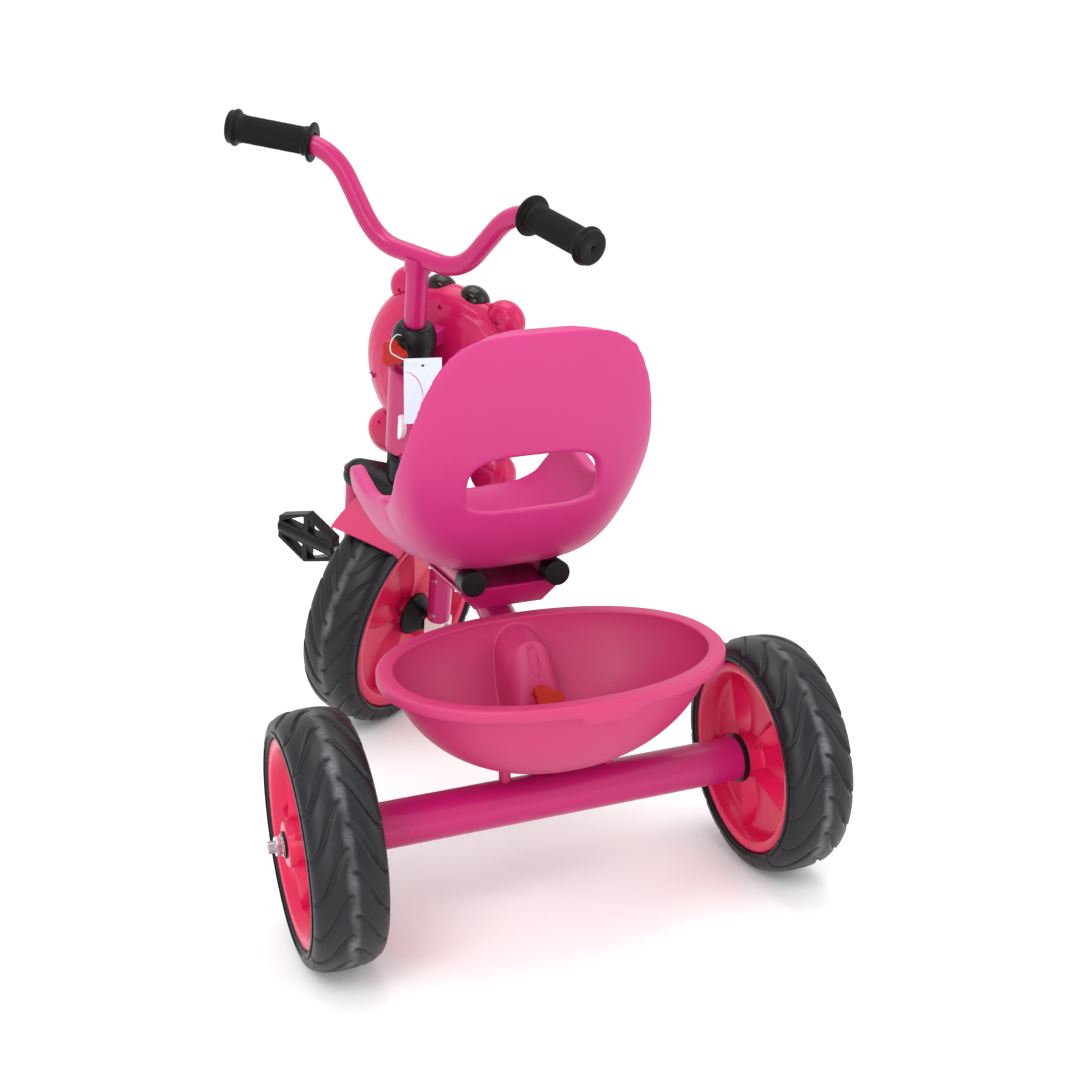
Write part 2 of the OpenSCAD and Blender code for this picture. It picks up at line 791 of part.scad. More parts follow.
// Open platform pedal: its spindle lies along z
module pedal() {
    half_l = pedal_len / 2;
    half_w = pedal_wid / 2;
    thick = 13;
    color([0.05, 0.05, 0.06]) rotate([0, 0, pedal_turn]) difference() {
        union() {
            translate([thick / 2, 0, 0]) rotate([0, -90, 0]) linear_extrude(thick) difference() {
                polygon([[-half_l, -half_w * 0.45], [0, -half_w], [half_l, -half_w * 0.45],
                         [half_l, half_w * 0.45], [0, half_w], [-half_l, half_w * 0.45]]);
                for (s = [-1, 1]) for (e = [-1, 1]) polygon([
                    [e * 4, s * 9], [e * (half_l - 5), s * 9], [e * (half_l - 5), s * 10],
                    [e * 4, s * (half_w - 5)]]);
            }
            cylinder(h = pedal_len, r = 8.5, center = true);
        }
        cylinder(h = pedal_len + 2, r = pin_r + run_gap, center = true);
    }
}

module left_pedal() {
    front_hub() translate([-crank_len, 0, -pedal_mid]) pedal();
}

module right_pedal() {
    front_hub() translate([crank_len, 0, pedal_mid]) pedal();
}

/* ---- Handlebar ---- */

grip_in = [127, -7, grip_up - 1];
grip_out = [bar_half, -34, grip_up + 1];
bar_corners = [[0, 0, bar_up], [50, 0, bar_up], [104, -2, grip_up - 2], grip_out];

// Points along a line of corners, with each inner corner rounded in steps
function rounded(corners, reach, steps = 7) = concat([corners[0]],
    [for (k = [1 : len(corners) - 2])
        let (c = corners[k], u = corners[k - 1] - c, v = corners[k + 1] - c,
             p = c + u * min(reach / norm(u), 0.5), q = c + v * min(reach / norm(v), 0.5))
        for (i = [0 : steps]) let (t = i / steps) p * (1 - t) * (1 - t) + c * 2 * t * (1 - t) + q * t * t],
    [corners[len(corners) - 1]]);

// Round tube of radius r swept along points, with sides flat sides
module swept(points, r, sides) {
    last = len(points) - 1;
    ring_skin([for (i = [0 : last])
        let (d = points[min(i + 1, last)] - points[max(i - 1, 0)], t = d / norm(d),
             side = cross([0.05, 1, 0.1], t), u = side / norm(side), v = cross(t, u))
        [for (j = [0 : sides - 1]) points[i] + r * (u * cos(360 * j / sides) - v * sin(360 * j / sides))]]);
}

// The bar's middle line from left to right, run on past each end by extra
function bar_line(extra) =
    let (last = len(bar_corners) - 1, out = bar_corners[last] - bar_corners[last - 1],
         tip = bar_corners[last] + extra * out / norm(out),
         right = rounded([for (i = [0 : last]) i < last ? bar_corners[i] : tip], 32), n = len(right))
    concat([for (i = [n - 1 : -1 : 1]) [-right[i][0], right[i][1], right[i][2]]],
           [for (i = [1 : n - 1]) right[i]]);

module handlebar() {
    color([0.84, 0.16, 0.46]) steered() difference() {
        swept(bar_line(0), bar_r, 24);
        swept(bar_line(1), bar_r - tube_wall, 16);
    }
}

stem_lo = -42;

module stem() {
    color([0.84, 0.16, 0.46]) steered() difference() {
        translate([0, 0, stem_lo]) cylinder(h = bar_up - stem_lo, r = stem_r);
        translate([0, 0, stem_lo - 1]) cylinder(h = bar_up - stem_lo - 14, r = stem_r - tube_wall);
        translate([-60, 0, bar_up]) rotate([0, 90, 0]) cylinder(h = 120, r = bar_r);
    }
}

// Weld fillets in the corners between the stem and the bar
module stem_gussets() {
    color([0.84, 0.16, 0.46]) steered() difference() {
        translate([0, 0, bar_up - 15]) cylinder(h = 15, r = stem_r + 2.2);
        translate([0, 0, bar_up - 20]) cylinder(h = 40, r = stem_r);
        translate([-60, 0, bar_up]) rotate([0, 90, 0]) cylinder(h = 120, r = bar_r);
    }
}

module grip(side) {
    d = grip_out - grip_in;
    len = norm(d) + 3;
    color([0.05, 0.05, 0.06]) steered() mirror([side > 0 ? 0 : 1, 0, 0])
        translate(grip_in) rotate([0, acos(d[2] / norm(d)), atan2(d[1], d[0])]) difference() {
            union() {
                translate([0, 0, -3]) cylinder(h = 4, r = 19.5);
                cylinder(h = len, r = 13.6);
                translate([0, 0, len - 9]) cylinder(h = 3.5, r = 18);
                translate([0, 0, len - 6]) cylinder(h = 6, r = 16);
            }
            translate([0, 0, -10]) cylinder(h = 10 + norm(d), r = bar_r);
        }
}

module left_grip() { grip(-1); }
module right_grip() { grip(1); }

/* ---- Star knobs and tag ---- */

// Three-lobed knob: its stud points down, its head lies above z = 0
module star_knob(stud) {
    color([0.86, 0.16, 0.05]) {
        cylinder(h = 4, r = 7);
        translate([0, 0, 3]) linear_extrude(10) union() {
            circle(r = 9.5);
            for (i = [0 : 2]) rotate([0, 0, 120 * i]) translate([8, 0]) circle(r = 6.5);
        }
        translate([0, 0, -stud]) cylinder(h = stud + 1, r = knob_stud_r);
    }
}

module collar_knob() {
    steered() translate([0, -27, 46]) rotate([90, 0, 0]) star_knob(12);
}

module basket_knob() {
    knob_frame() translate([0, 0, hump_r + 6]) star_knob(26);
}

tag_w = 39;
tag_h = 65;
tag_t = 0.6;

// The card hangs upright, facing backward: x to the right, y up
module tag_frame() {
    translate([-21.5, rear_y + 333, 432]) rotate([90, 3, 0]) children();
}

module swing_tag() {
    color([0.92, 0.94, 0.97]) tag_frame() translate([0, -tag_h, 0]) linear_extrude(tag_t) difference() {
        square([tag_w, tag_h]);
        translate([tag_w / 2, tag_h - 7]) circle(r = 1.6);
    }
}

// From the collar, over the knob, to and through the hole in the card
string_r = 0.5;
string_route = [[-2, -20, 60], [-2, -27, 64], [0, -37, 65], [3, -46, 62], [6, -49, 55], [14, -44, 50],
    [23, -39, 47], [30, -34, 45.5], [32.4, -28.7, 43.5], [29.5, -26.4, 42.1], [27.6, -24.9, 41.2]];

module tag_string() {
    color([0.95, 0.95, 0.95]) steered() swept(rounded(string_route, 3, 3), string_r, 8);
}

rear_axle_tube();
main_tube();
head_tube();
head_bushes();
head_tube_cover();
cover_decal();
seat_bracket();
seat_rails();
rail_caps();
seat();
seat_bolts();
basket();
rear_axle_rod();
axle_tube_plugs();
axle_nuts();
axle_washers();
rear_left_tyre();
rear_left_rim();
rear_left_bushes();
rear_right_tyre();
rear_right_rim();
rear_right_bushes();
steerer();
fork_crown();
fork_legs();
fork_shoulders();
lower_bearing_cover();
head_collar();
bearing_blocks();
leg_screws();
mudguard();
mudguard_screws();
bear_back();
bear_front();
bear_ears();
bear_paws();
bear_hat();
bear_muzzle();
bear_eyes();
bear_screws();
bear_bracket();
front_tyre();
front_rim();
hub_cones();
crank_axle();
left_pedal();
right_pedal();
handlebar();
stem();
stem_gussets();
left_grip();
right_grip();
collar_knob();
basket_knob();
swing_tag();
tag_string();
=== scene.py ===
import json
import math

import bmesh
import bpy
import numpy as np
from mathutils import Matrix, Vector


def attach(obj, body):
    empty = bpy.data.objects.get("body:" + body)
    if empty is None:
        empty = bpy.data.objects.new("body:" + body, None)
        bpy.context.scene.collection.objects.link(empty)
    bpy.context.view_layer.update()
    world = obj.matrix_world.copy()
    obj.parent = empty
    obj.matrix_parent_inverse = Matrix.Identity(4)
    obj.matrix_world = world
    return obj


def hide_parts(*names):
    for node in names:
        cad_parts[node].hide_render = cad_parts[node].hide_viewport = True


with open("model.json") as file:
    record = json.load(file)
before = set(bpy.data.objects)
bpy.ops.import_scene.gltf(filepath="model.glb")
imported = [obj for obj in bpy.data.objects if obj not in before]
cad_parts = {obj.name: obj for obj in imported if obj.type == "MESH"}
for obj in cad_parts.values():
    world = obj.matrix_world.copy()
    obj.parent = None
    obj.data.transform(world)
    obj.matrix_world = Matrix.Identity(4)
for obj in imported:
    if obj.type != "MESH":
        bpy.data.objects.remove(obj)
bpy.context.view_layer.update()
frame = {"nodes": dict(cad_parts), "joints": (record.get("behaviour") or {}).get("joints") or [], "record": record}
MM = 0.001

# ---- Camera ----
cam_data = bpy.data.cameras.new("camera")
cam = bpy.data.objects.new("camera", cam_data)
bpy.context.scene.collection.objects.link(cam)
rear = Vector(next(j for j in frame["joints"] if j["name"] == "rear_left_wheel_spin")["pos_m"])
cam.location = (-0.4098, rear.y - 1.0990, 0.6514)
yaw, pitch, roll = 0.351, 0.270, -0.035
view_dir = Vector((math.sin(yaw) * math.cos(pitch), math.cos(yaw) * math.cos(pitch), -math.sin(pitch)))
right = Vector((math.cos(yaw), -math.sin(yaw), 0))
up = right.cross(view_dir)
cr, sr = math.cos(roll), math.sin(roll)
cam_right, cam_up = cr * right + sr * up, -sr * right + cr * up
cam.rotation_mode = "QUATERNION"
cam.rotation_quaternion = Matrix((cam_right, cam_up, -view_dir)).transposed().to_quaternion()
cam_data.sensor_width = 36
cam_data.lens = 50.28
cam_data.clip_start, cam_data.clip_end = 0.05, 2000
bpy.context.scene.camera = cam

# ---- The steering's own axes: lat to the right, fwd forward, up the axis ----
joint = {j["name"]: j for j in frame["joints"]}
STEER = Vector(joint["steering"]["pos_m"])
UP = Vector(joint["steering"]["axis"]).normalized()
LAT = Vector(joint["front_wheel_spin"]["axis"]).normalized()
FWD = UP.cross(LAT)


def steered(x, y, z):
    """A point given in mm in the steering's frame, in metres in the row's frame."""
    return STEER + (x * LAT + y * FWD + z * UP) * MM


STEER_M = Matrix.Translation(STEER) @ Matrix((LAT, FWD, UP)).transposed().to_4x4()


# ---- Materials ----
def material(name, color, rough, metal=0.0, coat=0.0, spec=0.5, vary=0.06, vary_scale=30.0,
             bump=0.1, bump_scale=500.0, bump_depth=0.0004, rough_vary=0.08, sub=0.0):
    """A finish whose colour and gloss vary a little, with a fine grain as bump. Scales are per metre."""
    m = bpy.data.materials.new(name)
    m.use_nodes = True
    nt = m.node_tree
    b = nt.nodes["Principled BSDF"]
    b.inputs["Metallic"].default_value = metal
    b.inputs["Coat Weight"].default_value = coat
    b.inputs["Coat Roughness"].default_value = 0.08
    b.inputs["Specular IOR Level"].default_value = spec
    if sub:
        b.inputs["Subsurface Weight"].default_value = sub
        b.inputs["Subsurface Radius"].default_value = (0.004, 0.0015, 0.001)
        b.inputs["Subsurface Scale"].default_value = 1.0
    tc = nt.nodes.new("ShaderNodeTexCoord")
    big = nt.nodes.new("ShaderNodeTexNoise")
    big.inputs["Scale"].default_value = vary_scale
    big.inputs["Detail"].default_value = 4
    nt.links.new(tc.outputs["Object"], big.inputs["Vector"])
    mix = nt.nodes.new("ShaderNodeMix")
    mix.data_type = "RGBA"
    mix.inputs["A"].default_value = tuple(max(0, c * (1 - vary)) for c in color) + (1,)
    mix.inputs["B"].default_value = tuple(min(1, c * (1 + vary) + vary * 0.01) for c in color) + (1,)
    nt.links.new(big.outputs["Fac"], mix.inputs["Factor"])
    nt.links.new(mix.outputs["Result"], b.inputs["Base Color"])
    rr = nt.nodes.new("ShaderNodeMapRange")
    rr.inputs["To Min"].default_value = max(0.02, rough - rough_vary)
    rr.inputs["To Max"].default_value = min(1, rough + rough_vary)
    nt.links.new(big.outputs["Fac"], rr.inputs["Value"])
    nt.links.new(rr.outputs["Result"], b.inputs["Roughness"])
    fine = nt.nodes.new("ShaderNodeTexNoise")
    fine.inputs["Scale"].default_value = bump_scale
    fine.inputs["Detail"].default_value = 5
    nt.links.new(tc.outputs["Object"], fine.inputs["Vector"])
    bp = nt.nodes.new("ShaderNodeBump")
    bp.inputs["Strength"].default_value = bump
    bp.inputs["Distance"].default_value = bump_depth
    nt.links.new(fine.outputs["Fac"], bp.inputs["Height"])
    nt.links.new(bp.outputs["Normal"], b.inputs["Normal"])
    return m


def tinted(m, attr, color, rough=None):
    """Adds a second colour to material m where the mesh attribute attr is 1."""
    nt = m.node_tree
    b = nt.nodes["Principled BSDF"]
    a = nt.nodes.new("ShaderNodeAttribute")
    a.attribute_name = attr
    src = b.inputs["Base Color"].links[0].from_socket
    mix = nt.nodes.new("ShaderNodeMix")
    mix.data_type = "RGBA"
    nt.links.new(a.outputs["Fac"], mix.inputs["Factor"])
    nt.links.new(src, mix.inputs["A"])
    mix.inputs["B"].default_value = tuple(color) + (1,)
    nt.links.new(mix.outputs["Result"], b.inputs["Base Color"])
    if rough is not None:
        rsrc = b.inputs["Roughness"].links[0].from_socket
        rm = nt.nodes.new("ShaderNodeMix")
        nt.links.new(a.outputs["Fac"], rm.inputs["Factor"])
        nt.links.new(rsrc, rm.inputs["A"])
        rm.inputs["B"].default_value = rough
        nt.links.new(rm.outputs["Result"], b.inputs["Roughness"])
    return m


M_PAINT = material("powder_magenta", (0.42, 0.007, 0.115), 0.30, coat=0.12, spec=0.32, vary=0.07,
                   vary_scale=14, bump=0.22, bump_scale=420, bump_depth=0.0003)
M_SEAT = material("seat_pink", (0.47, 0.024, 0.160), 0.42, spec=0.4, vary=0.06, vary_scale=9, bump=0.30,
                  bump_scale=900, bump_depth=0.0003, sub=0.06)
M_BASKET = material("basket_pink", (0.46, 0.028, 0.125), 0.46, spec=0.35, vary=0.06, vary_scale=9,
                    bump=0.34, bump_scale=850, bump_depth=0.0003, sub=0.06)
M_RIM = material("rim_pink", (0.60, 0.005, 0.070), 0.30, coat=0.12, spec=0.3, vary=0.06, vary_scale=22,
                 bump=0.12, bump_scale=160, bump_depth=0.0003, sub=0.08)
M_GLOSS = material("bear_pink", (0.50, 0.007, 0.090), 0.20, coat=0.10, spec=0.26, vary=0.05, vary_scale=16,
                   bump=0.10, bump_scale=120, bump_depth=0.0003, sub=0.06)
M_COVER = material("cover_pink", (0.42, 0.008, 0.105), 0.30, coat=0.05, spec=0.28, vary=0.05, vary_scale=20,
                   bump=0.2, bump_scale=400, bump_depth=0.0003)
M_GUARD = material("mudguard_pink", (0.52, 0.035, 0.125), 0.48, spec=0.3, vary=0.06, vary_scale=14,
                   bump=0.25, bump_scale=700, bump_depth=0.0003)
M_TYRE = material("tyre_foam", (0.004, 0.005, 0.0075), 0.40, spec=0.30, vary=0.35, vary_scale=22, bump=0.40,
                  bump_scale=520, bump_depth=0.0004, rough_vary=0.10)
tinted(M_TYRE, "scuff", (0.20, 0.205, 0.215), 0.8)
M_BLACK = material("black_plastic", (0.004, 0.004, 0.005), 0.34, spec=0.2, vary=0.3, vary_scale=30,
                   bump=0.25, bump_scale=600, bump_depth=0.0003)
M_GRIP = material("grip_rubber", (0.003, 0.003, 0.003), 0.46, spec=0.14, vary=0.3, vary_scale=40, bump=0.3,
                  bump_scale=700, bump_depth=0.0003)
M_DARK = material("dark_gloss", (0.010, 0.004, 0.003), 0.10, coat=0.05, spec=0.28, vary=0.2, vary_scale=40,
                  bump=0.05, bump_scale=100)
M_CHROME = material("plated_steel", (0.70, 0.70, 0.72), 0.18, metal=1, vary=0.08, vary_scale=200, bump=0.15,
                    bump_scale=900)
M_STEEL = material("bare_steel", (0.45, 0.45, 0.47), 0.34, metal=1, vary=0.12, vary_scale=120, bump=0.25,
                   bump_scale=800)
M_NYLON = material("white_nylon", (0.74, 0.73, 0.68), 0.42, vary=0.05, vary_scale=60, bump=0.2,
                   bump_scale=500)
M_RED = material("knob_red", (0.38, 0.010, 0.004), 0.36, coat=0.0, spec=0.2, vary=0.10, vary_scale=60,
                 bump=0.15, bump_scale=400)
M_FILM = material("white_film", (0.80, 0.80, 0.82), 0.25, coat=0.3, vary=0.04, vary_scale=60, bump=0.05)
M_CARD = material("card", (0.64, 0.77, 0.85), 0.6, vary=0.02, vary_scale=50, bump=0.15, bump_scale=1500)
M_PRINT = material("card_print", (0.70, 0.09, 0.16), 0.55, vary=0.08, vary_scale=300, bump=0.1,
                   bump_scale=1500)
M_THREAD = material("thread", (0.72, 0.73, 0.76), 0.8, vary=0.1, vary_scale=900, bump=0.5, bump_scale=4000,
                    bump_depth=0.0002)
M_MUZZLE = material("muzzle", (0.86, 0.50, 0.52), 0.25, coat=0.4, vary=0.04, vary_scale=30, bump=0.08)

CAD_MATERIAL = {
    "magenta_paint": M_PAINT, "pink_matte": M_SEAT, "pink_gloss": M_GLOSS, "muzzle_pink": M_MUZZLE,
    "dark_gloss": M_DARK, "black_plastic": M_BLACK, "grip_rubber": M_GRIP, "foam_tyre": M_TYRE,
    "plated_steel": M_CHROME, "bare_steel": M_STEEL, "white_nylon": M_NYLON, "red_plastic": M_RED,
    "white_film": M_FILM, "white_card": M_CARD, "white_thread": M_THREAD,
}
slot_of = {s["node"]: s["material_slot"] for s in frame["record"]["subparts"]}
body_of = {n: b for b, ns in frame["record"]["behaviour"]["bodies"].items() for n in ns}


def repaint(node, mat):
    """Gives a CAD node one material."""
    o = frame["nodes"][node]
    o.data.materials.clear()
    o.data.materials.append(mat)


for node, slot in slot_of.items():
    repaint(node, CAD_MATERIAL[slot])
for node in ("front_rim", "rear_left_rim", "rear_right_rim"):
    repaint(node, M_RIM)
repaint("head_tube_cover", M_COVER)
repaint("mudguard", M_GUARD)
repaint("bear_screws", M_CHROME)


# Moulded pieces: voxel in mm, passes of smoothing, strength
MOULDED = {
    "bear_back": (1.0, 12, 0.6), "bear_front": (1.0, 12, 0.6), "bear_ears": (0.7, 8, 0.5),
    "bear_paws": (0.7, 8, 0.5),
    "bear_hat": (0.8, 8, 0.5), "bear_muzzle": (0.7, 8, 0.5), "bear_eyes": (0.5, 6, 0.5),
    "collar_knob": (0.4, 5, 0.5), "basket_knob": (0.4, 5, 0.5), "left_pedal": (0.7, 4, 0.5),
    "right_pedal": (0.7, 4, 0.5), "hub_cones": (0.6, 6, 0.5), "head_collar": (0.6, 5, 0.5),
    "head_tube_cover": (0.7, 6, 0.5), "lower_bearing_cover": (0.6, 5, 0.5), "rail_caps": (0.5, 4, 0.5),
}
# Pieces with small broken edges: width in mm
BROKEN_EDGES = {
    "seat_bracket": 0.7, "bearing_blocks": 0.8, "axle_nuts": 0.4, "axle_washers": 0.2, "fork_crown": 0.6,
    "fork_shoulders": 0.8, "leg_screws": 0.4, "mudguard": 0.8, "mudguard_screws": 0.3, "seat_bolts": 0.4,
    "axle_tube_plugs": 0.4, "stem": 0.4, "bear_bracket": 0.5, "bear_screws": 0.4,
}

# ---- Mesh helpers ----
def add_mesh(name, verts, faces, mat, nodes=(), body=None, smooth=True):
    """A piece that rides on the body of the CAD nodes it stands for, or on body."""
    me = bpy.data.meshes.new(name)
    me.from_pydata([tuple(map(float, v)) for v in verts], [], [tuple(map(int, f)) for f in faces])
    me.validate()
    me.materials.append(mat)
    o = bpy.data.objects.new(name, me)
    bpy.context.scene.collection.objects.link(o)
    for p in me.polygons:
        p.use_smooth = smooth
    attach(o, body or body_of[nodes[0]])
    if nodes:
        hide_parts(*nodes)
    return o


def grid_faces(rows, cols, wrap_rows=False, wrap_cols=True):
    """Four-sided faces between the points of a grid, row after row."""
    r = np.arange(rows if wrap_rows else rows - 1)
    c = np.arange(cols if wrap_cols else cols - 1)
    R, C = np.meshgrid(r, c, indexing="ij")
    R2, C2 = (R + 1) % rows, (C + 1) % cols
    return np.stack([R * cols + C, R * cols + C2, R2 * cols + C2, R2 * cols + C], -1).reshape(-1, 4)


def lathe(profile, n=96, closed=True):
    """Vertices and faces of a profile [(r, z)] turned about z, in the profile's own units.

    An open profile starts and ends on the axis.
    """
    p = np.array(profile, float)
    t = np.linspace(0, 2 * np.pi, n, endpoint=False)
    x = np.outer(p[:, 0], np.cos(t))
    y = np.outer(p[:, 0], np.sin(t))
    z = np.repeat(p[:, 1:2], n, 1)
    return np.stack([x, y, z], -1).reshape(-1, 3), grid_faces(len(p), n, wrap_rows=closed)


def placed(v, m):
    """Points in mm, moved by matrix m, in metres."""
    v = np.asarray(v, float) * MM
    r = np.array(m.to_3x3())
    return v @ r.T + np.array(m.translation)


def axis_matrix(origin, z, x=None):
    """A frame at origin with its z along z and its x as near to x as can be."""
    z = Vector(z).normalized()
    x = Vector(x) if x is not None else Vector((0, 0, 1)).cross(z)
    if x.length < 1e-6:
        x = Vector((1, 0, 0))
    x = (x - z * x.dot(z)).normalized()
    return Matrix.Translation(origin) @ Matrix((x, z.cross(x), z)).transposed().to_4x4()


def frames_along(pts):
    """Two unit vectors square to the line at each of its points, without twist."""
    pts = np.asarray(pts, float)
    d = np.gradient(pts, axis=0)
    d /= np.linalg.norm(d, axis=1)[:, None]
    u = np.cross(d[0], [0.31, 0.2, 0.93])
    u /= np.linalg.norm(u)
    us = []
    for t in d:
        u = u - t * (u @ t)
        u /= np.linalg.norm(u)
        us.append(u)
    us = np.array(us)
    return us, np.cross(d, us)


def tube(pts, r, n=32, caps=True):
    """A round tube along pts. r is one radius or one for each point."""
    pts = np.asarray(pts, float)
    us, vs = frames_along(pts)
    t = np.linspace(0, 2 * np.pi, n, endpoint=False)
    r = np.broadcast_to(np.asarray(r, float), (len(pts),))
    round_ = us[:, None] * np.cos(t)[None, :, None] + vs[:, None] * np.sin(t)[None, :, None]
    v = pts[:, None] + r[:, None, None] * round_
    f = grid_faces(len(pts), n).tolist()
    if caps:
        f.append(list(range(n))[::-1])
        f.append([(len(pts) - 1) * n + i for i in range(n)])
    return v.reshape(-1, 3), f


def rounded_path(corners, reach, steps=14, seg=6):
    """Corners joined by straight runs, with each inner corner rounded."""
    c = [np.array(p, float) for p in corners]
    out = [c[0]]
    for k in range(1, len(c) - 1):
        u, v = c[k - 1] - c[k], c[k + 1] - c[k]
        p = c[k] + u * min(reach / np.linalg.norm(u), 0.5)
        q = c[k] + v * min(reach / np.linalg.norm(v), 0.5)
        for i in range(steps + 1):
            t = i / steps
            out.append(p * (1 - t) ** 2 + c[k] * 2 * t * (1 - t) + q * t * t)
    out.append(c[-1])
    full = [out[0]]
    for a, b in zip(out, out[1:]):
        if np.linalg.norm(b - a) < 1e-6:
            continue
        m = seg if np.linalg.norm(b - a) > reach * 0.4 else 1
        for i in range(1, m + 1):
            full.append(a + (b - a) * i / m)
    return np.array(full)


def join(parts):
    """One list of vertices and one of faces from several (vertices, faces)."""
    vs, fs, n = [], [], 0
    for v, f in parts:
        vs.append(np.asarray(v, float))
        fs += [[int(i) + n for i in q] for q in f]
        n += len(v)
    return np.concatenate(vs), fs


def bevel(o, width_mm, segments, angle):
    """Rounds the edges sharper than angle, in degrees."""
    m = o.modifiers.new("bevel", "BEVEL")
    m.width = width_mm * MM
    m.segments = segments
    m.limit_method = "ANGLE"
    m.angle_limit = math.radians(angle)
    m.harden_normals = False
    return o


def smooth_by_angle(o, angle=32):
    """Smooth shading that keeps real edges crisp."""
    for p in o.data.polygons:
        p.use_smooth = True
    m = o.modifiers.new("crisp", "EDGE_SPLIT")
    m.split_angle = math.radians(angle)
    return o


def remesh(o, voxel_mm, smooth=0, factor=0.5):
    """Rebuilds a piece from voxels and smooths it, as a moulding's soft edges are."""
    m = o.modifiers.new("remesh", "REMESH")
    m.mode = "VOXEL"
    m.voxel_size = voxel_mm * MM
    m.use_smooth_shade = True
    if smooth:
        s = o.modifiers.new("smooth", "SMOOTH")
        s.factor = factor
        s.iterations = smooth
    return o


def outward(me):
    """Turns a mesh's faces to look outwards."""
    bm = bmesh.new()
    bm.from_mesh(me)
    bmesh.ops.recalc_face_normals(bm, faces=bm.faces)
    bm.to_mesh(me)
    bm.free()


def bake(o):
    """Applies a new piece's modifiers."""
    mats = list(o.data.materials)
    dg = bpy.context.evaluated_depsgraph_get()
    done = bpy.data.meshes.new_from_object(o.evaluated_get(dg), preserve_all_data_layers=False, depsgraph=dg)
    o.modifiers.clear()
    o.data = done
    if not done.materials:
        for m in mats:
            done.materials.append(m)


for node, o in frame["nodes"].items():
    if node in MOULDED:
        remesh(o, *MOULDED[node])
        continue
    if node in BROKEN_EDGES:
        bevel(o, BROKEN_EDGES[node], 2, 40)
    smooth_by_angle(o)

# ---- Swing tag and its string ----
ROUTE = [(-2, -20, 60), (-2, -27, 64), (0, -37, 65), (3, -46, 62), (6, -49, 55), (14, -44, 50), (23, -39, 47),
         (30, -34, 45.5), (32.4, -28.7, 43.5), (29.5, -26.4, 42.1), (27.6, -24.9, 41.2)]
string_pts = placed(rounded_path(ROUTE, 3, 4, 3), STEER_M)
v, f = tube(string_pts, 0.5 * MM, 12)
string = add_mesh("tag_string_strand", v, f, M_THREAD, ("tag_string",))

TAG_M = Matrix.Translation(Vector((-0.0215, rear.y + 0.333, 0.432))) \
    @ Matrix.Rotation(math.radians(3), 4, "Y") @ Matrix.Rotation(math.radians(90), 4, "X")


repaint("swing_tag", M_CARD)
arc = np.array([(1.5, -13.0), (7.0, -14.6), (12.2, -18.6), (16.2, -24.5), (18.6, -32.0), (19.6, -41.0)])
side = np.gradient(arc, axis=0)
side = np.stack([-side[:, 1], side[:, 0]], 1) / np.linalg.norm(side, axis=1)[:, None]
wide = np.array([0.2, 0.4, 0.5, 0.5, 0.4, 0.2])[:, None]
edge_a, edge_b = arc + side * wide, arc - side * wide
PRINT_LO, PRINT_HI = 0.58, 0.68
corners = ((edge_a, PRINT_LO), (edge_a, PRINT_HI), (edge_b, PRINT_HI), (edge_b, PRINT_LO))
v = np.concatenate([np.column_stack([e, np.full(6, z)]) for e, z in corners])
f = []
for k in range(4):
    for i in range(5):
        a, b = k * 6 + i, (k + 1) % 4 * 6 + i
        f.append([a, a + 1, b + 1, b])
f += [[0, 6, 12, 18], [5, 23, 17, 11]]
printed = add_mesh("swing_tag_print", placed(v, TAG_M), f, M_PRINT, body=body_of["swing_tag"],
                   smooth=False)
tuple(float(c) for c in string_pts[0])
[tuple(float(c) for c in p) for p in string_pts]

# ---- The bear's sunk screw holes ----
# Half outline of the drill: a wide mouth, then the hole
DRILL = [(0, -12), (3.4, -12), (3.4, -1.0), (2.4, 0.2), (2.2, 2.2), (0, 2.2)]
HOLES = {"bear_back": [(-2.6, 47.3, 65.4)], "bear_ears": [(-61.8, 59.0, 60.7), (58.9, 59.3, 63.8)],
         "bear_paws": [(-72.1, 46.6, -98.1), (65.9, 49.2, -93.9)]}
for node, places in HOLES.items():
    parts = []
    for place in places:
        v, f = lathe(DRILL, 32, closed=False)
        parts.append((placed(v, axis_matrix(steered(*place), FWD)), f))
    v, f = join(parts)
    me = bpy.data.meshes.new(node + "_drill")
    me.from_pydata([tuple(p) for p in v], [], [tuple(q) for q in f])
    outward(me)
    drill = bpy.data.objects.new(node + "_drill", me)
    bpy.context.scene.collection.objects.link(drill)
    b = frame["nodes"][node].modifiers.new("holes", "BOOLEAN")
    b.object, b.operation, b.solver = drill, "DIFFERENCE", "EXACT"
    drill.hide_render = True

